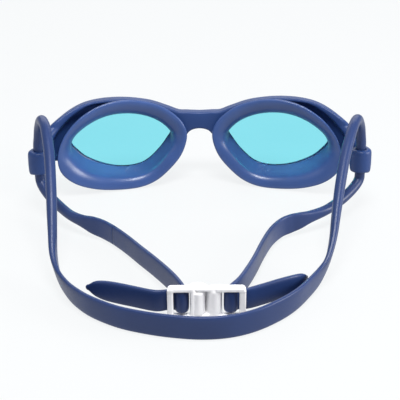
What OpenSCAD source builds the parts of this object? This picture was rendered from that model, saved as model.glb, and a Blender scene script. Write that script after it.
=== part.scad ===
// One-piece-frame swim goggles standing on a table: lenses upright and leaning
// slightly forward, the head strap looped out behind, closed by a two-part clip.
// +X to the wearer's right as seen from behind, +Y the way the wearer looks, +Z up.

/* [Frame] */
// Width over the two strap guides, less the guides' own radius on each side
frame_span = 151.8; // [151:0.1:152]
// Forward lean of the frame as it stands, in degrees
lean = 8; // [7:1:9]
// Thickness of the front wall of the frame
wall_t = 2.4; // [2:0.2:2.6]
// Depth of the rim and nose bridge, front to back
rim_depth = 6; // [5:0.5:6.5]
// Depth of the rim where it becomes the side arm
arm_depth = 3.2; // [2.8:0.2:3.6]

/* [Strap guides] */
// Outer radius of the round guide at the end of each arm
guide_r = 5.1; // [5:0.1:5.3]
// Length of the guide along the strap
guide_h = 11; // [10:0.5:11]
// Diameter of the strap where it is round
strap_d = 4.8; // [4.4:0.1:4.8]
// Radial clearance of the strap inside the guide
guide_gap = 0.05; // [0.03:0.01:0.1]

/* [Face seals] */
// Depth of the flexible lip behind its neck
lip_depth = 5; // [4.5:0.5:5.5]

/* [Lenses] */
// Width of the ring that holds each lens
ring_w = 2.2; // [2:0.2:2.4]
// Thickness of the lens
lens_t = 1.8; // [1.4:0.1:2]

/* [Strap] */
// Width of the strap where it is flat
strap_w = 9.5; // [9:0.1:9.5]
// Thickness of the strap where it is flat
strap_t = 2.2; // [1.8:0.1:2.2]

/* [Clip] */
// Height of the clip
clip_h = 14.5; // [14.3:0.1:15]
// Radius of each strap bar
bar_r = 1; // [0.8:0.1:1]
// Radius of the post and of the hook's column
post_r = 3; // [2.8:0.1:3]

/* [Hidden] */
$fn = 48;
navy = [0.20, 0.27, 0.47];
y0 = 55.4;                  // puts the middle of the whole object on the origin
uc = 38.5;                  // middle of each eye
vc = 23;
guide_u = frame_span / 2;
guide_v = 22;
guide_w = -23.2;
span_r = 79;                // half width of the wrap-round curve
seat_w = wall_t;            // lens, ring and seal all meet on this inner surface

// ---------- curves ----------
function cr(a, b, c, d, t) = 0.5 * (2*b + (c - a)*t + (2*a - 5*b + 4*c - d)*t*t + (3*b - a - 3*c + d)*t*t*t);
function closed(P, n) = let (m = len(P)) [for (i = [0:m-1]) for (k = [0:n-1])
    cr(P[(i+m-1)%m], P[i], P[(i+1)%m], P[(i+2)%m], k/n)];
function opened(P, n) = let (m = len(P)) concat([for (i = [0:m-2]) for (k = [0:n-1])
    cr(P[max(i-1,0)], P[i], P[i+1], P[min(i+2,m-1)], k/n)], [P[m-1]]);
function unit(v) = v / norm(v);
function grow(P, d) = [for (p = P) p + d * unit(p - [uc, vc])];
function flip(P) = [for (i = [len(P)-1:-1:0]) [-P[i][0], P[i][1]]];

// wrap-round curve seen from above: superellipse, x = across, y = forward
function front(a, d = 0) = let (e = 2/2.4,
    c = [span_r * sign(a) * pow(sin(abs(a)), e), -27 + 45 * pow(cos(a), e)],
    n = unit([sign(a) * pow(sin(abs(a)), 2 - e) / span_r, pow(cos(a), 2 - e) / 45]))
    c - d * n;
function wf(u) = -27 + 45 * pow(1 - pow(min(abs(u)/span_r, 1), 2.4), 1/2.4);
function deep(a) = let (u = span_r * pow(sin(abs(a)), 2/2.4), k = min(max((u - 60) / 14, 0), 1))
    rim_depth + (arm_depth - rim_depth) * k * k * (3 - 2*k);
angs = [for (a = [-88:4:88]) a];

// ---------- outlines of one eye, across and up ----------
rim_pts = [[6.3,26],[8,32.5],[13,38],[20,42.3],[28,44.8],[36,45.8],[44,45],[52,42.3],[60,37],
    [66,29.5],[68.5,21],[66.5,13.5],[60,7.2],[51,2.6],[41,0.6],[30,0.8],[21.5,4],[14,10.5],[8.8,17.5]];
neck_pts = [[13.8,25.5],[15.2,28.7],[19,32.4],[24,35.3],[30,37.3],[36.5,38.2],[43,38],[49.5,36.4],[56,33.1],
    [61.5,28.3],[63.5,22],[62,16],[57,11],[49.5,7.5],[41,5.8],[32,5.8],[25,8.2],[18.8,13.5],[14.8,19.5]];
lens_pts = [[14.8,27],[16,30.2],[19.3,33.7],[24,36.4],[30,38],[36.5,38.6],[43,38.3],[49.5,36.8],[56,33.8],
    [61.5,29.5],[63.5,25],[61,20.7],[56.3,16],[48.5,11.8],[40.5,9.8],[33,10],[27,12.3],[21,17.8],[16.8,23.4]];
pocket_pts = [[10.2,25.5],[11.6,31.5],[15,36],[22,39.8],[30,42.2],[38,43],[46,43.5],[54,43],[60.5,39.9],
    [65,36.3],[69,31.6],[71,28],[71.3,23.5],[69.4,20],[65.8,15.4],[61,11],[54,7.2],[46,5],[38,4.3],
    [30,4.8],[23.5,7.8],[17.5,13.5],[12.4,19.5]];
// side view limit of the arms, forward and up: keeps them below the strap's bend
arm_pts = [[25,-5],[25,60],[-5,60],[-6.5,34.5],[-9,32],[-12,29.8],[-15,28.4],[-18.5,27.4],[-30,27.3],[-30,16.6],[-14,16.6],[-6,-5]];
top_pts = [[0,37.2],[6,37.5],[10.5,37.8],[16,39.9],[25,43],[36,44.8],[45,45.2],[52,44.8],[58,43.6],
    [63.5,41.2],[68.5,38],[72.3,35.2],[75,32.6],[77.2,29.8],[79.2,27.2]];
low_pts = [[79.2,16.6],[76,16.9],[72.5,17.8],[69.5,17.4],[67,14.8],[63.5,10.6],[58,6.6],[51,3.8],[42,2.2],[31,2.4],[23,4.6],
    [16.5,9.5],[11.5,16],[8.6,22],[5.5,26.8],[2.8,28.4],[0,28.8]];
rim = closed(rim_pts, 3);
neck = closed(neck_pts, 3);
lens_line = closed(lens_pts, 3);
side = concat(opened(top_pts, 3), opened(low_pts, 3));
outer = concat(side, [for (i = [len(side)-2:-1:1]) [-side[i][0], side[i][1]]]);

// ---------- solid builders ----------
// frame coordinates (across, forward, up) tipped by the lean and shifted
module place() translate([0, y0, 0]) rotate([-lean, 0, 0]) children();
module through(P) translate([0, 40, 0]) rotate([90, 0, 0]) linear_extrude(height = 110) polygon(P);
module across(P) translate([-100, 0, 0]) rotate([90, 0, 90]) linear_extrude(height = 200) polygon(P);
module slab(d0, d1) translate([0, 0, -5]) linear_extrude(height = 60)
    polygon(concat([for (a = angs) front(a, d0)], [for (i = [len(angs)-1:-1:0]) front(angs[i], d1)]));
module deep_slab() translate([0, 0, -5]) linear_extrude(height = 60)
    polygon(concat([for (a = angs) front(a, 0)], [for (i = [len(angs)-1:-1:0]) front(angs[i], deep(angs[i]))]));

// closed band of rings: R is a list of rings, each a list of 3-D points; the
// section closes on itself when loop is true, otherwise the two ends are capped
module band(R, loop) {
    n = len(R); m = len(R[0]);
    pts = [for (r = R) for (p = r) p];
    last = loop ? n - 1 : n - 2;
    faces = [for (i = [0:last]) for (k = [0:m-1]) let (a = i*m + k, b = i*m + (k+1)%m,
        c = ((i+1)%n)*m + (k+1)%m, d = ((i+1)%n)*m + k) each [[a, b, c], [a, c, d]]];
    caps = loop ? [] : [[for (k = [m-1:-1:0]) k], [for (k = [0:m-1]) (n-1)*m + k]];
    polyhedron(points = pts, faces = concat(faces, caps), convexity = 6);
}

// ribbon swept along rows of [x, y, z, width, thickness, face azimuth, lean]
function row_at(P, i) = P[min(max(i, 0), len(P)-1)];
function tangent(R, i) = unit([for (k = [0:2]) row_at(R, i+1)[k] - row_at(R, i-1)[k]]);
// ring i, moved along by s, its width and thickness scaled by fw and ft
function ribbon_ring(R, i, m, s = 0, fw = 1, ft = 1) = let (q = R[i], t = tangent(R, i),
    n0 = [cos(q[5])*cos(q[6]), sin(q[5])*cos(q[6]), -sin(q[6])],
    w = unit(cross(n0, t)), n = cross(t, w),
    e = 2 / (2 + 2 * min(max(q[3]/q[4] - 1, 0) / 2, 1)))
    [for (k = [0:m-1]) let (a = 360*k/m) [q[0], q[1] + y0, q[2]] + t * s
        + w * fw * q[3]/2 * sign(cos(a)) * pow(abs(cos(a)), e)
        + n * ft * q[4]/2 * sign(sin(a)) * pow(abs(sin(a)), e)];
// round_a and round_b: 0 cut square, 1 a ball end, 2 a half-round edge across the width
module ribbon(rows, n, round_a = 0, round_b = 0, m = 12) {
    R = opened(rows, n); l = len(R) - 1; ra = R[0][4]/2; rb = R[l][4]/2;
    band(concat(
        round_a == 0 ? [] : [for (b = [72, 48, 24]) ribbon_ring(R, 0, m, -ra*sin(b), round_a == 1 ? cos(b) : 1, cos(b))],
        [for (i = [0:l]) ribbon_ring(R, i, m)],
        round_b == 0 ? [] : [for (b = [24, 48, 72]) ribbon_ring(R, l, m, rb*sin(b), round_b == 1 ? cos(b) : 1, cos(b))]), false);
}

// ---------- frame ----------
module both() { children(); mirror([1, 0, 0]) children(); }
module guide_body() translate([guide_u, guide_w, guide_v]) rotate_extrude()
    polygon([[0, -guide_h/2], [guide_r-1.1, -guide_h/2], [guide_r-0.5, -guide_h/2+0.5], [guide_r-0.15, -guide_h/2+2],
        [guide_r, 0.8], [guide_r, guide_h/2-1.4], [guide_r-0.2, guide_h/2-0.5], [guide_r-0.8, guide_h/2], [0, guide_h/2]]);
module outer_frame() color(navy) difference() {
    place() difference() {
        union() {
            intersection() { through(outer); slab(0, wall_t); across(arm_pts); }
            difference() {
                intersection() { through(outer); deep_slab(); across(arm_pts); }
                both() through(closed(pocket_pts, 3));
            }
            both() guide_body();
        }
        both() through(grow(lens_line, ring_w));
        both() translate([guide_u, guide_w, guide_v - 10]) cylinder(h = 20, r = strap_d/2 + guide_gap);
    }
    translate([-100, -100, -10]) cube([200, 200, 10.02]);
}

// ---------- lenses ----------
module lens() place() intersection() { through(lens_line); slab(wall_t - lens_t, wall_t); }
module lens_ring() place() intersection() {
    difference() { through(grow(lens_line, ring_w)); through(lens_line); }
    slab(-0.3, wall_t);
}
module right_lens() color([0.55, 0.88, 0.94, 0.6]) lens();
module left_lens() color([0.55, 0.88, 0.94, 0.6]) mirror([1, 0, 0]) lens();
module right_lens_ring() color([0.16, 0.22, 0.40]) lens_ring();
module left_lens_ring() color([0.16, 0.22, 0.40]) mirror([1, 0, 0]) lens_ring();

// ---------- face seals ----------
function rim_w(u) = 6.8 - u*u/260;
// section of the seal at place i: outer wall forward to back, round the lip, and in along the cup
function seal_ring(f, g) = [for (i = [0:len(rim)-1]) let (p = (1-f)*rim[i] + f*neck[i]) [p[0], rim_w(p[0]) + g, p[1]]];
// outer edge of the lip, which is deeper towards the temple
function edge_ring(f, k) = [for (i = [0:len(rim)-1]) let (p = (1-f)*rim[i] + f*neck[i], e = min(max((rim[i][0]-30)/28, 0), 1))
    [p[0], rim_w(p[0]) + k * (1 + 1.2*e*e*(3-2*e)), p[1]]];
function base_ring(d) = let (B = grow(lens_line, d)) [for (p = B) [p[0], wf(p[0]) - seat_w - 0.06*max(abs(p[0])-40, 0) - 0.05, p[1]]];
function mix(A, B, t) = [for (i = [0:len(A)-1]) (1-t)*A[i] + t*B[i]];
module seal() place() let (n1 = seal_ring(0.72, lip_depth), b1 = base_ring(3.4), n2 = seal_ring(1, lip_depth), b2 = base_ring(0.1))
    band([b1, mix(b1, n1, 0.5), n1, edge_ring(0.12, 1.5), edge_ring(0.02, 1), seal_ring(0, 0.6), seal_ring(0.1, 0),
        seal_ring(0.4, 0.7), seal_ring(0.8, 2.6), n2, mix(n2, b2, 0.45), b2], true);
module right_face_seal() color([0.25, 0.34, 0.56]) seal();
module left_face_seal() color([0.25, 0.34, 0.56]) mirror([1, 0, 0]) seal();

// ---------- strap ----------
module core() place() translate([guide_u, guide_w, guide_v - guide_h/2 + 0.1]) cylinder(h = guide_h - 0.2, r = strap_d/2);
module right_strap_core() color(navy) core();
module left_strap_core() color(navy) mirror([1, 0, 0]) core();

d = strap_d;
w = strap_w;
t = strap_t;
// upper strap from the left guide, round the back, to the right guide
upper_rows = [
    [-75.9,-18.8,33.2,d,d,180,0], [-75.4,-19,37,d,d,180,0], [-74.4,-20.9,43,d,d,180,0],
    [-72.3,-26.6,48.8,d,d,180,0], [-69.8,-34,49.4,d,d,180,2], [-68,-41,47,d,d,180,4], [-66,-51,41,d,d,181,7],
    [-64.4,-63,32.8,d,d-0.2,182,10], [-63.4,-72,26,5,4.5,183,12], [-62.6,-80,19.4,6,3.6,184,14], [-61.6,-88,11.9,8,2.7,190,14],
    [-58.8,-95.8,7,9.1,t+0.1,202,13], [-54.2,-104.2,5.3,w+0.3,t,212,10], [-49,-111.6,5.2,w+0.6,t,221,7], [-42.6,-118.2,5.3,w+0.9,t,230,6],
    [-33,-124.8,5.3,w+0.9,t,242,5], [-23,-129,5.3,w+0.9,t,252,4], [-12,-132,5.3,w+0.9,t,260,3], [0,-133.6,5.3,w+0.9,t,270,3],
    [11,-132.5,5.3,w+0.9,t,280,3], [21,-128.4,5.3,w+0.9,t,293,3], [30.6,-121.2,5.3,w+0.9,t,308,3], [38.3,-113,5.25,w+0.7,t,319,4],
    [45,-102.6,5.2,w+0.3,t,330,5], [49.9,-94.6,6.2,w,t,336,7], [53.6,-88.9,10.2,8.6,2.5,346,9], [56.2,-82.3,16.6,7,3.1,354,9],
    [58.2,-73.6,24,5.6,4,357,8], [60.7,-63,31.9,d,d-0.2,358,6], [63.9,-51,40,d,d,359,4], [67.2,-41,46,d,d,360,2],
    [69.6,-34,48.6,d,d,360,0], [72.3,-26.6,48.3,d,d,360,0], [74.5,-20.9,42.8,d,d,360,0], [75.5,-19,37,d,d,360,0], [75.9,-18.8,33.2,d,d,360,0]];
module rear_strap() color(navy) ribbon(upper_rows, 2, 1, 1);

// lower strap halves, from each guide down and in to the clip
left_rows = [
    [-75.9,-21,16.9,d,d,180,0], [-73.9,-23.9,13.2,d,d,190,0], [-70.6,-28.2,10.8,d,d,205,0],
    [-66.4,-33.3,9,d,d,220,0], [-60,-41,7.6,d,d-0.3,232,0], [-54,-46,7,6,3.4,235,0], [-49,-49.3,6.5,8.6,2.5,232,0],
    [-44,-52.6,6.1,w,t,220,0], [-38.4,-58.4,5.9,w,t,215,0], [-32,-67.2,5.9,w,t,213,0], [-26,-77,6.2,w,t,211,0],
    [-20.1,-86.6,6.6,w,t,210,0], [-14.6,-96.2,7,w,t,208,0], [-10.6,-103.8,7.2,w,t,205,0], [-8.2,-109.2,7.3,w,t,204,0]];
right_rows = [
    [75.9,-21,16.9,d,d,0,0], [73.5,-23.9,13.4,d,d,-10,0], [69.4,-28.2,11,d,d,-25,0],
    [64.4,-33.4,9.4,d,d,-40,0], [58,-39.6,8.4,d,d-0.3,-52,0], [50.5,-44.2,7.5,6,3.4,-58,0], [45.5,-46.9,6.9,8.2,2.6,-58,0],
    [41,-49,6.4,w,t,-50,0], [36.4,-52.6,6.1,w,t,-38,0], [31.4,-61,6.1,w,t,-25,0], [27,-73.2,6.3,w,t,-18,0],
    [22.8,-87.4,6.7,w,t,-17,0], [19.2,-98,7.1,w,t,-18,0], [16,-105.9,7.3,w,t,-24,0], [12.8,-111,7.35,w-0.3,1.9,-38,0],
    [10.4,-114.4,7.35,w-0.3,1.8,-18,0], [10.05,-116.6,7.35,w-0.3,1.8,6,0]];
module left_lower_strap() color(navy) ribbon(left_rows, 2, 1, 2);
module right_lower_strap() color(navy) ribbon(right_rows, 2, 1, 0);
// strap turned round the clip's bar, then the free tail
wrap_x = [-7.5, 12];
wrap_y = -116.4;
left_tail_rows = [
    [-7.55,-110.85,7.3,w,t-0.1,204,0], [-6.5,-113.1,7.3,w,1.9,204,0], [-5.6,-115.2,7.3,w-0.3,1.8,190,0], [-5.5,-116.6,7.3,w-0.3,1.8,170,0],
    [-6.1,-117.8,7.3,w-0.3,1.8,130,0], [-7.5,-118.4,7.3,w-0.3,1.8,90,0], [-8.9,-117.8,7.3,w-0.3,1.8,50,0],
    [-9.6,-116.5,7.3,w-0.3,1.8,35,0], [-11,-115.7,7.3,w-0.3,1.8,75,0], [-13.6,-116.1,7.35,w,1.9,100,0], [-17,-116.8,7.4,w,t,92,0],
    [-20.4,-116.2,7.5,w,t,70,0], [-26.6,-113.8,7.6,w,t,68,0], [-33.2,-111.3,7.7,w,t,67,0], [-38.6,-109.2,7.7,8.8,t,66,0],
    [-42.6,-107.4,7.6,6.6,2,66,0], [-45.4,-106.2,7.5,2.6,1.4,66,0]];
right_tail_rows = [
    [10.1,-117,7.35,w-0.3,1.8,10,0], [10.6,-117.8,7.35,w-0.3,1.8,45,0], [12,-118.4,7.35,w-0.3,1.8,90,0], [13.4,-117.8,7.35,w-0.3,1.8,130,0],
    [14.1,-116.5,7.35,w-0.3,1.8,146,0], [15.6,-115.7,7.4,w-0.3,1.8,108,0], [18.4,-115.6,7.5,w,1.9,100,0], [21,-114.6,7.6,w,t,114,0],
    [25.4,-112.4,7.7,w,t,117,0], [30.6,-109.5,7.7,w,t,119,0], [36,-106.3,7.4,w,t,123,0], [39.8,-103.2,7,8.4,t,130,0],
    [42.2,-100.2,6.6,6,2,138,0], [43.6,-97.8,6.2,2.6,1.4,144,0]];
module left_strap_tail() color(navy) ribbon(left_tail_rows, 3);
module right_strap_tail() color(navy) ribbon(right_tail_rows, 3);

// ---------- clip ----------
white = [0.92, 0.92, 0.93];
bar_t = 2.2;                 // top and bottom bars
cf = -119.5;                 // front face of the clip
module box(x0, x1, ya, yb, za, zb) translate([x0, ya + y0, za]) cube([x1 - x0, yb - ya, zb - za]);
module upright(x, y, r, za, zb) translate([x, y + y0, za]) cylinder(h = zb - za, r = r);
module clip_post_half() color(white) union() {
    box(-13.4, -10.8, cf, -117.75, 0, clip_h);
    box(-13.4, -2.6, cf, -116, 0, bar_t);
    box(-13.4, -2.6, cf, -116, clip_h - bar_t, clip_h);
    upright(wrap_x[0], wrap_y, bar_r - 0.05, bar_t - 0.5, clip_h - bar_t + 0.5);
    upright(-1.1, -116.5, post_r, bar_t + 0.1, clip_h - bar_t - 0.1);
    box(-4, -2.6, cf, -116.2, 0, clip_h);
}
module clip_hook_half() color(white) union() {
    box(15.3, 18.1, cf, -117.75, 0, clip_h);
    box(8.6, 18.1, cf, -116, 0, bar_t);
    box(8.6, 18.1, cf, -116, clip_h - bar_t, clip_h);
    upright(wrap_x[1], wrap_y, bar_r - 0.05, bar_t - 0.5, clip_h - bar_t + 0.5);
    upright(5.6, -116.5, post_r, 0, clip_h - 1.4);
    box(5.6, 9, cf + 0.2, -116, clip_h - bar_t, clip_h);
    box(5.6, 9, cf + 0.2, -116, 0, bar_t);
    // the hook, curled round the back of the post
    translate([-1.1, -116.5 + y0, 0]) rotate_extrude(angle = 140) translate([post_r + 0.35, 0]) square([1.1, clip_h - 1.4]);
    // plates over and under the post
    box(-2.2, 5.6, -119, -116.2, clip_h - bar_t + 0.25, clip_h - 0.5);
    box(-2.2, 5.6, -119, -116.2, 0, bar_t - 0.25);
}

outer_frame();
left_face_seal();
right_face_seal();
left_lens();
right_lens();
left_lens_ring();
right_lens_ring();
left_strap_core();
right_strap_core();
rear_strap();
left_lower_strap();
right_lower_strap();
left_strap_tail();
right_strap_tail();
clip_post_half();
clip_hook_half();
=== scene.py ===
import math
import bpy
import numpy as np
from mathutils import Matrix, Vector


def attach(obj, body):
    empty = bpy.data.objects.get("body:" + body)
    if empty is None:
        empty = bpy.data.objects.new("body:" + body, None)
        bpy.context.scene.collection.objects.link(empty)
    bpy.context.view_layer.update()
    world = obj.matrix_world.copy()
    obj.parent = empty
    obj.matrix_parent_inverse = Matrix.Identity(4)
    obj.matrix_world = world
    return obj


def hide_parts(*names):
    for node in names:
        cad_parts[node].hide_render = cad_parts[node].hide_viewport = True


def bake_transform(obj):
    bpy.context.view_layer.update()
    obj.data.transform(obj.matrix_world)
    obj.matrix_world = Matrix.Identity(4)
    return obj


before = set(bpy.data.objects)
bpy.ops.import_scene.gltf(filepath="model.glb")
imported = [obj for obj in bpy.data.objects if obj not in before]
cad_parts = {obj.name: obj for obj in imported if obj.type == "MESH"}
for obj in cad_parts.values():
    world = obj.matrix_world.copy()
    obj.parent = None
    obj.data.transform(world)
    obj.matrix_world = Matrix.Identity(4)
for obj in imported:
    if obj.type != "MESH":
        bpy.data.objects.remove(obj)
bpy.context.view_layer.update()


# ------------------------------------------------------------------ layout, mm
Y0 = 55.4
LEAN = math.radians(8)
UC, VC = 38.5, 23.0
SPAN, WALL = 79.0, 2.4
GU, GV, GW, GR, GH = 75.9, 22.0, -23.2, 5.1, 11.0
SD = 4.8

RIM = [(6.3,26),(8,32.5),(13,38),(20,42.3),(28,44.8),(36,45.8),(44,45),(52,42.3),(60,37),
       (66,29.5),(68.8,20.8),(67.5,12.7),(61.3,6.1),(51.8,2.0),(41,0.4),(30,0.8),(21.5,4),(14,10.5),(8.8,17.5)]
NECK = [(13.8,25.5),(15.2,28.7),(19,32.4),(24,35.3),(30,37.3),(36.5,38.2),(43,38),(49.5,36.4),(56,33.1),
        (61.5,28.3),(63.5,22),(62,16),(57,11),(49.5,7.5),(41,5.8),(32,5.8),(25,8.2),(18.8,13.5),(14.8,19.5)]
LENS = [(14.8,27),(16,30.2),(19.3,33.7),(24,36.4),(30,38),(36.5,38.6),(43,38.3),(49.5,36.8),(56,33.8),
        (61.5,29.5),(63.5,25),(61,20.7),(56.3,16),(48.5,11.8),(40.5,9.8),(33,10),(27,12.3),(21,17.8),(16.8,23.4)]
POCKET = [(10.2,25.5),(11.6,31.5),(15,36),(22,39.8),(30,42.2),(38,43),(46,43.5),(54,43),(60.5,39.9),
          (65,36.3),(69,31.6),(71,28),(71.3,23.5),(69.4,20),(65.8,15.4),(61,11),(54,7.2),(46,5),(38,4.3),
          (30,4.8),(23.5,7.8),(17.5,13.5),(12.4,19.5)]
TOP = [(0,37.2),(6,37.5),(10.5,37.8),(16,39.9),(25,43),(36,44.8),(45,45.2),(52,44.8),(58,43.6),
       (63.5,41.2),(68.5,38),(72.3,35.2),(75,32.6),(77.2,29.8),(79.2,27.2)]
LOW = [(79.2,16.6),(76,16.9),(72.5,17.8),(69.5,17.4),(67,14.8),(63.5,10.6),(58,6.6),(51,3.8),(42,2.2),(31,2.4),(23,4.6),
       (16.5,9.5),(11.5,16),(8.6,22),(5.5,26.8),(2.8,28.4),(0,28.8)]
ARM = [(25,-5),(25,60),(-5,60),(-6.5,34.5),(-9,32),(-12,29.8),(-15,28.4),(-18.5,27.4),(-30,27.3),(-30,16.6),(-14,16.6),(-6,-5)]
D, W, T = SD, 9.5, 2.2


# ------------------------------------------------------------------ curves
def cr(a, b, c, d, t):
    return 0.5 * (2*b + (c - a)*t + (2*a - 5*b + 4*c - d)*t*t + (3*b - a - 3*c + d)*t**3)


def closed(P, n):
    P = np.array(P, float)
    m = len(P)
    return np.array([cr(P[i-1], P[i], P[(i+1) % m], P[(i+2) % m], k/n) for i in range(m) for k in range(n)])


def opened(P, n):
    P = np.array(P, float)
    m = len(P)
    out = [cr(P[max(i-1, 0)], P[i], P[i+1], P[min(i+2, m-1)], k/n) for i in range(m-1) for k in range(n)]
    return np.array(out + [P[-1]])


def grow(P, d):
    v = P - np.array([UC, VC])
    return P + d * v / np.linalg.norm(v, axis=1)[:, None]


def wf(u):
    return -27 + 45 * (1 - np.minimum(np.abs(u) / SPAN, 1) ** 2.4) ** (1 / 2.4)


def smooth(t):
    t = np.clip(t, 0, 1)
    return t * t * (3 - 2 * t)


def to_world(P):
    """frame coordinates (across, forward, up) in mm to the row frame in mm"""
    P = np.asarray(P, float)
    c, s = math.cos(LEAN), math.sin(LEAN)
    return np.stack([P[..., 0], P[..., 1]*c + P[..., 2]*s + Y0, -P[..., 1]*s + P[..., 2]*c], -1)


# ------------------------------------------------------------------ meshes
def new_mesh(name, verts, faces, flat=False):
    me = bpy.data.meshes.new(name)
    me.from_pydata((np.asarray(verts) / 1000.0).tolist(), [], [list(map(int, f)) for f in faces])
    me.validate()
    if not flat:
        me.polygons.foreach_set("use_smooth", [True] * len(me.polygons))
    me.update()
    ob = bpy.data.objects.new(name, me)
    bpy.context.scene.collection.objects.link(ob)
    return ob


def outward(ob):
    import bmesh
    bm = bmesh.new()
    bm.from_mesh(ob.data)
    bmesh.ops.remove_doubles(bm, verts=bm.verts, dist=1e-7)
    bmesh.ops.recalc_face_normals(bm, faces=bm.faces)
    bm.to_mesh(ob.data)
    bm.free()
    ob.data.polygons.foreach_set("use_smooth", [True] * len(ob.data.polygons))
    ob.data.update()
    return ob


def band(R, loop):
    n, m = len(R), len(R[0])
    V = np.concatenate(R)
    F = []
    for i in range(n if loop else n - 1):
        for k in range(m):
            F.append((i*m + k, i*m + (k+1) % m, ((i+1) % n)*m + (k+1) % m, ((i+1) % n)*m + k))
    if not loop:
        F += [list(range(m-1, -1, -1)), [(n-1)*m + k for k in range(m)]]
    return V, F


def poly_sdf(P, X, Z):
    """signed distance to a closed outline, negative inside"""
    shape = X.shape
    x, z = X.ravel(), Z.ravel()
    best = np.full(x.shape, 1e9)
    inside = np.zeros(x.shape, bool)
    Q = np.roll(P, -1, 0)
    for (ax, az), (bx, bz) in zip(P, Q):
        ex, ez = bx - ax, bz - az
        L = ex*ex + ez*ez
        if L < 1e-12:
            continue
        t = np.clip(((x - ax)*ex + (z - az)*ez) / L, 0, 1)
        best = np.minimum(best, (x - ax - t*ex)**2 + (z - az - t*ez)**2)
        cross = ((az > z) != (bz > z))
        if cross.any():
            xi = ax + (z - az) * ex / (ez if abs(ez) > 1e-12 else 1e-12)
            inside ^= cross & (x < xi)
    d = np.sqrt(best)
    return np.where(inside, -d, d).reshape(shape)


def smax(a, b, k):
    h = np.maximum(k - np.abs(a - b), 0) / k
    return np.maximum(a, b) + h*h*k*0.25


def smin(a, b, k):
    return -smax(-a, -b, k)


def surface_nets(F, origin, h):
    """closed quad mesh of the zero level of F, negative inside"""
    F = F.astype(np.float32)
    nx, ny, nz = F.shape
    inside = F < 0
    c = [(i, j, k) for i in (0, 1) for j in (0, 1) for k in (0, 1)]
    S = [inside[i:nx-1+i, j:ny-1+j, k:nz-1+k] for i, j, k in c]
    cnt = sum(s.astype(np.int8) for s in S)
    active = (cnt > 0) & (cnt < 8)
    I = np.argwhere(active)
    idx = -np.ones(active.shape, np.int64)
    idx[active] = np.arange(len(I))
    corner = {cc: F[I[:, 0]+cc[0], I[:, 1]+cc[1], I[:, 2]+cc[2]] for cc in c}
    acc = np.zeros((len(I), 3))
    num = np.zeros(len(I))
    for a in c:
        for ax in range(3):
            if a[ax] == 0:
                b = tuple(1 if q == ax else a[q] for q in range(3))
                fa, fb = corner[a], corner[b]
                m = (fa < 0) != (fb < 0)
                t = np.where(m, fa / np.where(m, fa - fb, 1), 0)
                p = np.tile(np.array(a, float), (len(I), 1))
                p[:, ax] += t
                acc[m] += p[m]
                num[m] += 1
    V = (I + acc / num[:, None]) * h + np.array(origin)
    faces = []
    for ax in range(3):
        sl = [slice(1, -1)] * 3
        a0 = [slice(1, F.shape[q]-1) for q in range(3)]
        a1 = list(a0)
        a0[ax] = slice(0, F.shape[ax]-1)
        a1[ax] = slice(1, F.shape[ax])
        s0, s1 = inside[tuple(a0)], inside[tuple(a1)]
        E = np.argwhere(s0 != s1)
        off = np.array([0 if q == ax else 1 for q in range(3)])
        E = E + off
        flip = inside[E[:, 0], E[:, 1], E[:, 2]]
        b, cc = (ax + 1) % 3, (ax + 2) % 3
        quad = []
        for db, dc in ((-1, -1), (0, -1), (0, 0), (-1, 0)):
            G = E.copy()
            G[:, b] += db
            G[:, cc] += dc
            quad.append(idx[G[:, 0], G[:, 1], G[:, 2]])
        Q = np.stack(quad, 1)
        Q[~flip] = Q[~flip][:, ::-1]
        faces.append(Q)
    return V, np.concatenate(faces)


def relax(V, Fq, field, origin, h, rounds=2):
    """even the mesh out, then pull each point back to the surface"""
    n = len(V)
    e = np.concatenate([Fq[:, [0, 1]], Fq[:, [1, 2]], Fq[:, [2, 3]], Fq[:, [3, 0]]])
    g = np.stack(np.gradient(field.astype(np.float32), h), -1)
    o = np.array(origin)
    for _ in range(rounds):
        s = np.zeros((n, 3))
        k = np.zeros(n)
        np.add.at(s, e[:, 0], V[e[:, 1]]); np.add.at(k, e[:, 0], 1)
        np.add.at(s, e[:, 1], V[e[:, 0]]); np.add.at(k, e[:, 1], 1)
        V = 0.5 * V + 0.5 * s / k[:, None]
        q = (V - o) / h
        i = np.clip(np.floor(q).astype(int), 0, np.array(field.shape) - 2)
        f = q - i
        val = np.zeros(n)
        gr = np.zeros((n, 3))
        for a in (0, 1):
            for b in (0, 1):
                for c in (0, 1):
                    w = (f[:, 0] if a else 1-f[:, 0]) * (f[:, 1] if b else 1-f[:, 1]) * (f[:, 2] if c else 1-f[:, 2])
                    val += w * field[i[:, 0]+a, i[:, 1]+b, i[:, 2]+c]
                    gr += w[:, None] * g[i[:, 0]+a, i[:, 1]+b, i[:, 2]+c]
        L = np.maximum((gr**2).sum(1), 0.2)
        V = V - (0.8 * np.clip(val / L, -0.3, 0.3))[:, None] * gr
    return V


# ------------------------------------------------------------------ materials
def lin(r, g, b):
    return tuple((c/255/12.92 if c/255 <= 0.04045 else ((c/255+0.055)/1.055)**2.4) for c in (r, g, b)) + (1.0,)


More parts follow.
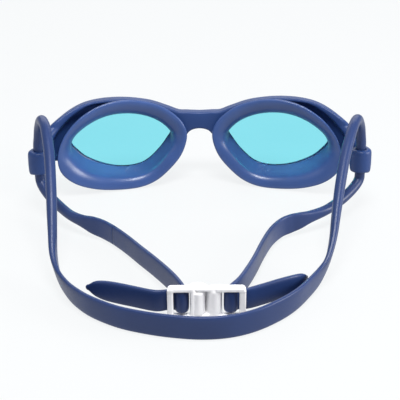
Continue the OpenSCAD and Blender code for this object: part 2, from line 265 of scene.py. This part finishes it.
def material(name, colour, rough, dark=0.9, light=1.06, grain=900.0, bump=0.12, coat=0.0, sheen=0.0, spec=0.5,
             scale=60.0, rough_var=0.05):
    m = bpy.data.materials.new(name)
    m.use_nodes = True
    nt = m.node_tree
    p = nt.nodes["Principled BSDF"]
    tc = nt.nodes.new("ShaderNodeTexCoord")
    soft = nt.nodes.new("ShaderNodeTexNoise")
    soft.inputs["Scale"].default_value = scale
    soft.inputs["Detail"].default_value = 3
    nt.links.new(tc.outputs["Object"], soft.inputs["Vector"])
    ramp = nt.nodes.new("ShaderNodeValToRGB")
    ramp.color_ramp.elements[0].position = 0.3
    ramp.color_ramp.elements[1].position = 0.7
    ramp.color_ramp.elements[0].color = tuple(c*dark for c in colour[:3]) + (1,)
    ramp.color_ramp.elements[1].color = tuple(min(c*light, 1) for c in colour[:3]) + (1,)
    nt.links.new(soft.outputs["Fac"], ramp.inputs["Fac"])
    nt.links.new(ramp.outputs["Color"], p.inputs["Base Color"])
    fine = nt.nodes.new("ShaderNodeTexNoise")
    fine.inputs["Scale"].default_value = grain
    fine.inputs["Detail"].default_value = 4
    fine.inputs["Roughness"].default_value = 0.6
    nt.links.new(tc.outputs["Object"], fine.inputs["Vector"])
    rr = nt.nodes.new("ShaderNodeMapRange")
    rr.inputs["From Min"].default_value = 0.3
    rr.inputs["From Max"].default_value = 0.7
    rr.inputs["To Min"].default_value = rough - rough_var
    rr.inputs["To Max"].default_value = rough + rough_var
    nt.links.new(fine.outputs["Fac"], rr.inputs["Value"])
    nt.links.new(rr.outputs["Result"], p.inputs["Roughness"])
    bp = nt.nodes.new("ShaderNodeBump")
    bp.inputs["Strength"].default_value = bump
    bp.inputs["Distance"].default_value = 0.0001
    nt.links.new(fine.outputs["Fac"], bp.inputs["Height"])
    nt.links.new(bp.outputs["Normal"], p.inputs["Normal"])
    p.inputs["Specular IOR Level"].default_value = spec
    p.inputs["Coat Weight"].default_value = coat
    p.inputs["Sheen Weight"].default_value = sheen
    p.inputs["Sheen Roughness"].default_value = 0.4
    return m


frame_mat = material("frame_silicone", lin(35, 60, 111), 0.40, spec=0.30, bump=0.05, rough_var=0.03)
seal_mat = material("seal_silicone", lin(48, 74, 128), 0.31, spec=0.5, bump=0.03, rough_var=0.02)
strap_mat = material("strap_silicone", lin(32, 52, 98), 0.38, spec=0.34, bump=0.06, grain=1200.0)
ring_mat = material("ring_plastic", lin(38, 56, 104), 0.28, grain=1500.0, bump=0.05)
clip_mat = material("clip_plastic", lin(250, 249, 250), 0.33, dark=0.985, light=1.0, grain=1500.0, bump=0.05)
clip_mat.node_tree.nodes["Principled BSDF"].inputs["Subsurface Weight"].default_value = 0.12
clip_mat.node_tree.nodes["Principled BSDF"].inputs["Subsurface Radius"].default_value = (0.002, 0.002, 0.002)

lens_mat = bpy.data.materials.new("lens_tint")
lens_mat.use_nodes = True
_p = lens_mat.node_tree.nodes["Principled BSDF"]
_p.inputs["Base Color"].default_value = lin(142, 229, 241)
_p.inputs["Transmission Weight"].default_value = 1.0
_p.inputs["IOR"].default_value = 1.10
_tc = lens_mat.node_tree.nodes.new("ShaderNodeTexCoord")
_n = lens_mat.node_tree.nodes.new("ShaderNodeTexNoise")
_n.inputs["Scale"].default_value = 220.0
lens_mat.node_tree.links.new(_tc.outputs["Object"], _n.inputs["Vector"])
_r = lens_mat.node_tree.nodes.new("ShaderNodeMapRange")
_r.inputs["To Min"].default_value = 0.02
_r.inputs["To Max"].default_value = 0.06
lens_mat.node_tree.links.new(_n.outputs["Fac"], _r.inputs["Value"])
lens_mat.node_tree.links.new(_r.outputs["Result"], _p.inputs["Roughness"])


def dress(ob, mat):
    ob.data.materials.clear()
    ob.data.materials.append(mat)
    return ob


# ------------------------------------------------------------------ outer frame
def build_frame(h=0.45):
    u = np.arange(-83.0, 83.0 + h, h)
    w = np.arange(-30.5, 20.5, h)
    v = np.arange(-1.5, 47.5, h)
    au = np.abs(u)
    AU, VV = np.meshgrid(au, v, indexing="ij")
    side = np.concatenate([opened(TOP, 8), opened(LOW, 8)])
    out = np.concatenate([side, (side * [-1, 1])[::-1][1:-1]])
    d_out = poly_sdf(out, AU, VV)[:, None, :]
    d_pock = poly_sdf(closed(POCKET, 8), AU, VV)[:, None, :]
    d_ring = poly_sdf(grow(closed(LENS, 8), 2.2), AU, VV)[:, None, :]
    a = np.radians(np.arange(-90, 90.01, 0.75))
    e = 2 / 2.4
    fx = SPAN * np.sign(a) * np.abs(np.sin(a)) ** e
    fy = -27 + 45 * np.abs(np.cos(a)) ** e
    curve = np.stack([fx, fy], 1)
    curve = np.concatenate([[[-SPAN, -60]], curve, [[SPAN, -60]]])
    UU, WW = np.meshgrid(au, w, indexing="ij")
    deep = -poly_sdf(curve, UU, WW)
    depth = deep[:, :, None]
    k = smooth((np.abs(UU) + 0.35*deep - 60) / 14)
    dd = (6.0 + (3.2 - 6.0) * k)[:, :, None]
    end = (-24.2 - w)[None, :, None]
    WW2, VV2 = np.meshgrid(w, v, indexing="ij")
    d_arm = poly_sdf(np.array(ARM, float), WW2, VV2)[None, :, :]
    wall = smax(smax(-depth, depth - WALL, 0.5), d_out, 1.3)
    rim = smax(smax(-depth, depth - dd, 0.9), d_out, 1.2)
    rim = smax(rim, -d_pock, 0.45)
    body = smin(wall, rim, 0.8)
    body = smax(body, d_arm, 1.6)
    body = smax(body, end + 0*body, 0.6)
    U3, W3 = au[:, None] - GU, w[None, :] - GW
    rr = np.sqrt(U3**2 + W3**2)[:, :, None]
    vv = (v - GV)[None, None, :]
    radius = GR - 0.28 * smooth((-vv - 0.5) / 5.0) - 0.08 * smooth((vv - 3) / 2.5)
    tube = smax(rr - radius, np.abs(vv) - GH/2, 1.6)
    body = smin(body, tube, 2.4)
    body = smax(body, -d_ring, 0.5)
    bore = rr - (SD/2 + 0.05)
    body = smax(body, -bore + 0*body, 0.7)
    c, s = math.cos(LEAN), math.sin(LEAN)
    z = v[None, None, :]*c - w[None, :, None]*s
    body = smax(body, 0.03 - z + 0*body, 0.3)
    V, F = surface_nets(body, (u[0], w[0], v[0]), h)
    V = relax(V, F, body, (u[0], w[0], v[0]), h, 2)
    return new_mesh("frame_moulding", to_world(V), F)


frame_piece = build_frame()
dress(frame_piece, frame_mat)
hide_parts("outer_frame")
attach(frame_piece, "frame")


# ------------------------------------------------------------------ eye pieces
def rim_w(u):
    return 6.8 - u*u/260


def eye_pieces(side):
    n = 8
    rim, neck, lens = closed(RIM, n), closed(NECK, n), closed(LENS, n)

    def seal_ring(f, g):
        p = (1-f)*rim + f*neck
        return np.stack([p[:, 0], rim_w(p[:, 0]) + g, p[:, 1]], 1)

    def base_ring(d, extra=0.0):
        B = grow(lens, d)
        return np.stack([B[:, 0], wf(B[:, 0]) - WALL - 0.05 - extra - 0.06*np.maximum(np.abs(B[:, 0]) - 40, 0), B[:, 1]], 1)

    n1, n2 = seal_ring(0.72, 5), seal_ring(1, 5)
    b1, b2 = base_ring(3.4), base_ring(0.1)
    ee = smooth((rim[:, 0] - 30) / 28)

    def edge_ring(f, k):
        p = (1-f)*rim + f*neck
        return np.stack([p[:, 0], rim_w(p[:, 0]) + k*(1 + 1.2*ee), p[:, 1]], 1)
    low = smooth((24 - rim[:, 1]) / 12)[:, None]

    def lip(f0, g0, f1, g1):
        return (1-low)*seal_ring(f0, g0) + low*seal_ring(f1, g1)
    n3 = lip(1, 5, 1.26, 4.4)
    sec = [b1, 0.5*b1 + 0.5*n1, n1, edge_ring(0.2, 1.75), edge_ring(0.05, 1.45), edge_ring(0.0, 1.1), seal_ring(0, 0.6), lip(0.07, 0.06, 0.10, 0.02),
           lip(0.25, 0.15, 0.38, 0.05), lip(0.5, 1.0, 0.72, 0.6), lip(0.8, 2.7, 1.02, 1.9), n3, 0.5*n3 + 0.5*b2, b2]
    sec = np.array(sec)
    rings = []
    m = len(sec)
    k = 5
    for i in range(m - 1):
        for j in range(k):
            rings.append(cr(sec[max(i-1, 0)], sec[i], sec[i+1], sec[min(i+2, m-1)], j/k))
    rings.append(sec[-1])
    rings = [r * [side, 1, 1] for r in rings]
    V, F = band(rings, True)
    name = "right" if side > 0 else "left"
    seal = outward(new_mesh(name + "_seal_moulding", to_world(V), F))
    dress(seal, seal_mat)
    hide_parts(name + "_face_seal")
    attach(seal, "frame")

    # lens: two curved faces and a rounded edge
    L = grow(closed(LENS, 10), 0.35)
    c = np.array([UC, 24.5])
    steps = [1.0, 0.985, 0.95, 0.88, 0.78, 0.66, 0.53, 0.4, 0.27, 0.14, 0.04]

    def face(depth):
        out = []
        for s in steps:
            P = c + s*(L - c)
            out.append(np.stack([P[:, 0], wf(P[:, 0]) - depth, P[:, 1]], 1))
        return out
    rear, fore = face(WALL), face(0.6)
    R = rear[::-1] + fore
    R = [r * [side, 1, 1] for r in R]
    V, F = band(R, False)
    lens_ob = outward(new_mesh(name + "_lens_shell", to_world(V), F))
    dress(lens_ob, lens_mat)
    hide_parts(name + "_lens")
    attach(lens_ob, "frame")

    # lens ring: small rounded channel section
    P6 = closed(LENS, 10)
    prof = [(0.0, WALL), (0.0, 0.4), (0.12, -0.02), (0.45, -0.24), (1.1, -0.3), (1.75, -0.22), (2.08, 0.02), (2.18, 0.4), (2.18, WALL)]
    R = []
    for g, dpt in prof:
        P = grow(P6, g)
        R.append(np.stack([P[:, 0], wf(P[:, 0]) - dpt, P[:, 1]], 1) * [side, 1, 1])
    V, F = band(R, True)
    ring = outward(new_mesh(name + "_ring_moulding", to_world(V), F))
    dress(ring, ring_mat)
    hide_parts(name + "_lens_ring")
    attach(ring, "frame")


for _s in (1, -1):
    eye_pieces(_s)

# ------------------------------------------------------------------ strap
def v_world(v, dx=0.0):
    """a point on a guide's axis, mm, without the shift"""
    p = to_world([GU, GW, v])
    return [p[0] + dx, p[1] - Y0, p[2]]


_t1, _t2, _t3, _t4 = v_world(22.0), v_world(25.0), v_world(19.5), v_world(16.5)
UPPER = [
    [-75.9,_t1[1],_t1[2],D,D,180,0], [-75.9,_t2[1],_t2[2],D,D,180,0],
    [-75.9,-18.8,33.2,D,D,180,0], [-75.4,-19,37,D,D,180,0], [-74.4,-20.9,43,D,D,180,0],
    [-72.3,-26.6,48.8,D,D,180,0], [-69.8,-34,49.4,D,D,180,2], [-68,-41,47,D,D,180,4], [-66,-51,41,D,D,181,7],
    [-64.4,-63,32.8,D,D-0.2,182,10], [-63.4,-72,26,5,4.5,183,12], [-62.6,-80,19.4,6,3.6,184,14], [-61.6,-88,11.9,8,2.7,190,14],
    [-58.8,-95.8,7,9.1,T+0.1,202,13], [-54.2,-104.2,5.3,W+0.3,T,212,10], [-49,-111.6,5.2,W+0.6,T,221,7], [-42.6,-118.2,5.3,W+0.9,T,230,6],
    [-33,-124.8,5.3,W+0.9,T,242,5], [-23,-129,5.3,W+0.9,T,252,4], [-12,-132,5.3,W+0.9,T,260,3], [0,-133.6,5.3,W+0.9,T,270,3],
    [11,-132.5,5.3,W+0.9,T,280,3], [21,-128.4,5.3,W+0.9,T,293,3], [30.6,-121.2,5.3,W+0.9,T,308,3], [38.3,-113,5.25,W+0.7,T,319,4],
    [45,-102.6,5.2,W+0.3,T,330,5], [49.9,-94.6,6.2,W,T,336,7], [53.6,-88.9,10.2,8.6,2.5,346,9], [56.2,-82.3,16.6,7,3.1,354,9],
    [58.2,-73.6,24,5.6,4,357,8], [60.7,-63,31.9,D,D-0.2,358,6], [63.9,-51,40,D,D,359,4], [67.2,-41,46,D,D,360,2],
    [69.6,-34,48.6,D,D,360,0], [72.3,-26.6,48.3,D,D,360,0], [74.5,-20.9,42.8,D,D,360,0], [75.5,-19,37,D,D,360,0],
    [75.9,-18.8,33.2,D,D,360,0], [75.9,_t2[1],_t2[2],D,D,360,0], [75.9,_t1[1],_t1[2],D,D,360,0]]
LEFT = [
    [-75.9,_t3[1],_t3[2],D,D,180,0], [-75.9,_t4[1],_t4[2],D,D,180,0],
    [-75.6,-21.4,15.8,D,D,182,0], [-73.9,-23.9,13.2,D,D,190,0], [-70.6,-28.2,10.8,D,D,205,0],
    [-66.4,-33.3,9,D,D,220,0], [-60,-41,7.6,D,D-0.3,232,0], [-54,-46,7,6,3.4,235,0], [-49,-49.3,6.5,8.6,2.5,232,0],
    [-44,-52.6,6.1,W,T,220,0], [-38.4,-58.4,5.9,W,T,215,0], [-32,-67.2,5.9,W,T,213,0], [-26,-77,6.2,W,T,211,0],
    [-20.1,-86.6,6.6,W,T,210,0], [-14.6,-96.2,7,W,T,208,0], [-10.6,-103.8,7.2,W,T,205,0], [-8.2,-109.2,7.3,W-0.1,T,204,0],
    [-7.55,-110.85,7.3,W-0.1,T-0.1,204,0], [-6.5,-113.1,7.3,W-0.3,1.9,204,0], [-5.6,-115.2,7.3,W-0.3,1.8,190,0], [-5.5,-116.6,7.3,W-0.3,1.8,170,0],
    [-6.1,-117.8,7.3,W-0.3,1.8,130,0], [-7.5,-118.4,7.3,W-0.3,1.8,90,0], [-8.9,-117.8,7.3,W-0.3,1.8,50,0],
    [-9.6,-116.5,7.3,W-0.3,1.8,35,0], [-11,-115.7,7.3,W-0.3,1.8,75,0], [-13.6,-116.1,7.35,W-0.2,1.9,100,0], [-17,-116.8,7.4,W,T,92,0],
    [-20.4,-116.2,7.5,W,T,70,0], [-26.6,-113.8,7.6,W,T,68,0], [-33.2,-111.3,7.7,W,T,67,0], [-38.6,-109.2,7.7,8.8,T,66,0],
    [-42.6,-107.4,7.6,6.6,2,66,0], [-45.4,-106.2,7.5,2.6,1.4,66,0]]
RIGHT = [
    [75.9,_t3[1],_t3[2],D,D,0,0], [75.9,_t4[1],_t4[2],D,D,0,0],
    [75.6,-21.4,15.9,D,D,-2,0], [73.5,-23.9,13.4,D,D,-10,0], [69.4,-28.2,11,D,D,-25,0],
    [64.4,-33.4,9.4,D,D,-40,0], [58,-39.6,8.4,D,D-0.3,-52,0], [50.5,-44.2,7.5,6,3.4,-58,0], [45.5,-46.9,6.9,8.2,2.6,-58,0],
    [41,-49,6.4,W,T,-50,0], [36.4,-52.6,6.1,W,T,-38,0], [31.4,-61,6.1,W,T,-25,0], [27,-73.2,6.3,W,T,-18,0],
    [22.8,-87.4,6.7,W,T,-17,0], [19.2,-98,7.1,W,T,-18,0], [16,-105.9,7.3,W-0.1,T,-24,0], [12.8,-111,7.35,W-0.3,1.9,-38,0],
    [10.4,-114.4,7.35,W-0.3,1.8,-18,0], [10.05,-116.6,7.35,W-0.3,1.8,6,0],
    [10.6,-117.8,7.35,W-0.3,1.8,45,0], [12,-118.4,7.35,W-0.3,1.8,90,0], [13.4,-117.8,7.35,W-0.3,1.8,130,0],
    [14.1,-116.5,7.35,W-0.3,1.8,146,0], [15.6,-115.7,7.4,W-0.3,1.8,108,0], [18.4,-115.6,7.5,W-0.2,1.9,100,0], [21,-114.6,7.6,W,T,114,0],
    [25.4,-112.4,7.7,W,T,117,0], [30.6,-109.5,7.7,W,T,119,0], [36,-106.3,7.4,W,T,123,0], [39.8,-103.2,7,8.4,T,130,0],
    [42.2,-100.2,6.6,6,2,138,0], [43.6,-97.8,6.2,2.6,1.4,144,0]]


def ribbon(name, rows, n=10, m=32, tip=False, part=None):
    R = opened(rows, n)
    if part is not None:
        lo, hi = part
        idx = range(lo*n, hi*n + 1)
    else:
        idx = range(len(R))
    a = np.linspace(0, 2*np.pi, m, endpoint=False)
    rings = []

    def ring(i, s=0.0, fw=1.0, ft=1.0):
        q = R[i]
        t = R[min(i+1, len(R)-1)][:3] - R[max(i-1, 0)][:3]
        t /= np.linalg.norm(t)
        az, le = math.radians(q[5]), math.radians(q[6])
        n0 = np.array([math.cos(az)*math.cos(le), math.sin(az)*math.cos(le), -math.sin(le)])
        w = np.cross(n0, t); w /= np.linalg.norm(w)
        nn = np.cross(t, w)
        e = 2 / (2 + 2*min(max(q[3]/q[4] - 1, 0)/2, 1))
        ca, sa = np.cos(a), np.sin(a)
        return (q[:3] + [0, Y0, 0])[None, :] + t*s \
            + w * (fw*q[3]/2*np.sign(ca)*np.abs(ca)**e)[:, None] + nn * (ft*q[4]/2*np.sign(sa)*np.abs(sa)**e)[:, None]
    for i in idx:
        rings.append(ring(i))
    if tip:
        i = list(idx)[-1]
        for b in (20, 40, 60, 78):
            rb = R[i][3] / 2
            rings.append(ring(i, rb*math.sin(math.radians(b)), math.cos(math.radians(b)), 1 - 0.5*(b/78)**2))
    V, F = band(rings, False)
    return outward(new_mesh(name, V, F))


up = ribbon("rear_strap_moulding", UPPER)
dress(up, strap_mat)
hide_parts("rear_strap", "left_strap_core", "right_strap_core")
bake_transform(up)

SPLIT = 10
lo = ribbon("left_lower_strap_moulding", LEFT, part=(0, SPLIT))
dress(lo, strap_mat)
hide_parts("left_lower_strap")
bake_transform(lo)
lt = ribbon("left_strap_end_moulding", LEFT, tip=True, part=(SPLIT, len(LEFT)-1))
dress(lt, strap_mat)
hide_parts("left_strap_tail")
_d3 = np.array([-0.3, -0.954])
_s = np.array([-8.2, -109.2]) - 3.5*_d3
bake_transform(lt)

ro = ribbon("right_lower_strap_moulding", RIGHT, tip=True)
dress(ro, strap_mat)
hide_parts("right_lower_strap", "right_strap_tail")
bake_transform(ro)


# ------------------------------------------------------------------ clip
CF, BT, CH = -119.5, 2.2, 14.5


def clip_grid(x0, x1, h=0.16):
    x = np.arange(x0, x1, h)
    y = np.arange(-120.6, -110.6, h)
    z = np.arange(-0.8, 15.3, h)
    X, Y, Z = np.meshgrid(x, y, z, indexing="ij")
    return X, Y, Z, (x[0], y[0], z[0]), h


def sd_box(X, Y, Z, a, b, r):
    c = [(p+q)/2 for p, q in zip(a, b)]
    e = [abs(q-p)/2 - r for p, q in zip(a, b)]
    dx, dy, dz = np.abs(X-c[0])-e[0], np.abs(Y-c[1])-e[1], np.abs(Z-c[2])-e[2]
    out = np.sqrt(np.maximum(dx, 0)**2 + np.maximum(dy, 0)**2 + np.maximum(dz, 0)**2)
    return out + np.minimum(np.maximum(dx, np.maximum(dy, dz)), 0) - r


def sd_post(X, Y, Z, x, y, rad, z0, z1, r):
    d = np.sqrt((X-x)**2 + (Y-y)**2) - rad
    return smax(d, np.abs(Z - (z0+z1)/2) - (z1-z0)/2, r)


def finish_clip(name, f, o, h, node, body):
    V, F = surface_nets(f, o, h)
    V = relax(V, F, f, o, h, 2)
    ob = new_mesh(name, V + [0, Y0, 0], F)
    dress(ob, clip_mat)
    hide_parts(node)
    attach(ob, body)
    return ob


BB = 1.6


def sd_outline(X, Z, r):
    """rounded outline of the closed clip, seen from behind"""
    dx, dz = np.abs(X-2.35) - (15.75-r), np.abs(Z-CH/2) - (CH/2-r)
    return np.sqrt(np.maximum(dx, 0)**2 + np.maximum(dz, 0)**2) + np.minimum(np.maximum(dx, dz), 0) - r


X, Y, Z, o, h = clip_grid(-14.4, 3.0)
f = sd_box(X, Y, Z, (-13.4, CF, 0), (-10.8, -117.75, CH), 0.75)
f = smin(f, sd_box(X, Y, Z, (-13.4, CF, 0), (-2.6, -116, BB), 0.7), 0.7)
f = smin(f, sd_box(X, Y, Z, (-13.4, CF, CH-BT), (-2.6, -116, CH), 0.8), 0.7)
f = smin(f, sd_post(X, Y, Z, -7.5, -116.4, 0.95, 1.1, CH-BT+0.5, 0.2), 0.4)
f = smin(f, sd_post(X, Y, Z, -1.1, -116.5, 3.0, 1.5, CH-BT-0.1, 1.2), 0.5)
f = smin(f, sd_box(X, Y, Z, (-4.0, CF, 0), (-2.6, -116.2, CH), 0.5), 0.5)
f = smax(f, sd_outline(X, Z, 2.3), 0.5)
finish_clip("clip_post_moulding", f, o, h, "clip_post_half", "left_clip")

X, Y, Z, o, h = clip_grid(-6.2, 19.2)
g = sd_box(X, Y, Z, (15.3, CF, 0), (18.1, -117.75, CH), 0.75)
g = smin(g, sd_box(X, Y, Z, (5.8, CF, 0), (18.1, -116, BB), 0.7), 0.7)
g = smin(g, sd_box(X, Y, Z, (5.8, CF, CH-BT), (18.1, -116, CH), 0.8), 0.7)
g = smin(g, sd_post(X, Y, Z, 12, -116.4, 0.95, 1.1, CH-BT+0.5, 0.2), 0.4)
g = smin(g, sd_post(X, Y, Z, 5.6, -116.5, 3.0, 0, CH-1.4, 1.2), 0.5)
ang = np.degrees(np.arctan2(Y+116.5, X+1.1))
ring_d = np.abs(np.sqrt((X+1.1)**2 + (Y+116.5)**2) - 3.9) - 0.55
# the sector is held by two half planes
c140, s140 = math.cos(math.radians(140)), math.sin(math.radians(140))
cutl = -((X+1.1)*s140 - (Y+116.5)*c140)
sector = smax(ring_d, np.maximum(-(Y+116.5), cutl), 0.4)
sector = smax(sector, np.abs(Z - (CH-1.4)/2) - (CH-1.4)/2, 0.6)
g = smin(g, sector, 0.5)
g = smin(g, sd_box(X, Y, Z, (-2.2, -119.0, CH-BT+0.25), (6.5, -116.2, CH-0.5), 0.45), 0.5)
g = smin(g, sd_box(X, Y, Z, (-2.2, -119.0, 0), (6.5, -116.2, BT-0.25), 0.45), 0.5)
g = smax(g, sd_outline(X, Z, 2.3), 0.5)
finish_clip("clip_hook_moulding", g, o, h, "clip_hook_half", "right_clip")

# ------------------------------------------------------------------ stage, light, camera
sc = bpy.context.scene
sc.view_settings.view_transform = "Standard"
bpy.ops.mesh.primitive_plane_add(size=6, location=(0, 0, -0.0003))
floor = bpy.context.object
floor.name = "floor"
fm = bpy.data.materials.new("floor_white")
fm.use_nodes = True
fp = fm.node_tree.nodes["Principled BSDF"]
fp.inputs["Base Color"].default_value = (0.08, 0.08, 0.08, 1)
fp.inputs["Roughness"].default_value = 0.9
fp.inputs["Specular IOR Level"].default_value = 0.1
fp.inputs["Emission Color"].default_value = (0.96, 0.978, 0.988, 1)
fp.inputs["Emission Strength"].default_value = 0.855
floor.data.materials.append(fm)

world = bpy.data.worlds.new("studio")
sc.world = world
world.use_nodes = True
bg = world.node_tree.nodes["Background"]
bg.inputs["Color"].default_value = (0.965, 0.98, 1.0, 1)
bg.inputs["Strength"].default_value = 0.44


def area(name, loc, target, size, power, colour=(1, 1, 1)):
    l = bpy.data.lights.new(name, "AREA")
    l.shape = "RECTANGLE"
    l.size, l.size_y = size
    l.energy = power
    l.color = colour
    ob = bpy.data.objects.new(name, l)
    sc.collection.objects.link(ob)
    ob.location = loc
    ob.rotation_euler = (Vector(target) - Vector(loc)).to_track_quat("-Z", "Y").to_euler()
    return ob


area("top_softbox", (0.03, -0.22, 0.72), (0, 0, 0), (0.34, 0.24), 6.2)
area("right_key", (0.95, -0.15, 0.34), (0, 0, 0.02), (0.4, 0.4), 8.0, (1.0, 0.98, 0.96))
area("left_fill", (-0.8, -0.2, 0.5), (0, 0, 0.02), (0.4, 0.4), 0.5, (1.0, 0.95, 0.9))
area("front_panel", (0.0, 0.9, 0.55), (0, 0, 0.02), (1.2, 0.5), 3.5)

# the light that comes in through each tinted lens and falls on the lower wall of its cup
for _s in (1, -1):
    _a = to_world([_s*48.0, 11.0, 31.0]) / 1000.0
    _b = to_world([_s*52.0, 8.0, 8.0]) / 1000.0
    glow = area(("right" if _s > 0 else "left") + "_lens_glow", tuple(_a), tuple(_b), (0.018, 0.006), 0.0038, (0.08, 0.9, 0.8))
    glow.visible_camera = False

cam_data = bpy.data.cameras.new("camera")
cam_data.sensor_width = 36
cam_data.lens = 1050 / 400 * 36
cam_data.clip_start = 0.01
cam = bpy.data.objects.new("camera", cam_data)
sc.collection.objects.link(cam)
e, r = math.radians(26), math.radians(-0.36)
right0, up0, fwd = Vector((1, 0, 0)), Vector((0, math.sin(e), math.cos(e))), Vector((0, math.cos(e), -math.sin(e)))
right = math.cos(r)*right0 + math.sin(r)*up0
upv = -math.sin(r)*right0 + math.cos(r)*up0
M = Matrix((right, upv, -fwd)).transposed().to_4x4()
M.translation = Vector((0, (-474 + Y0)/1000, 0.226))
cam.matrix_world = M
sc.camera = cam
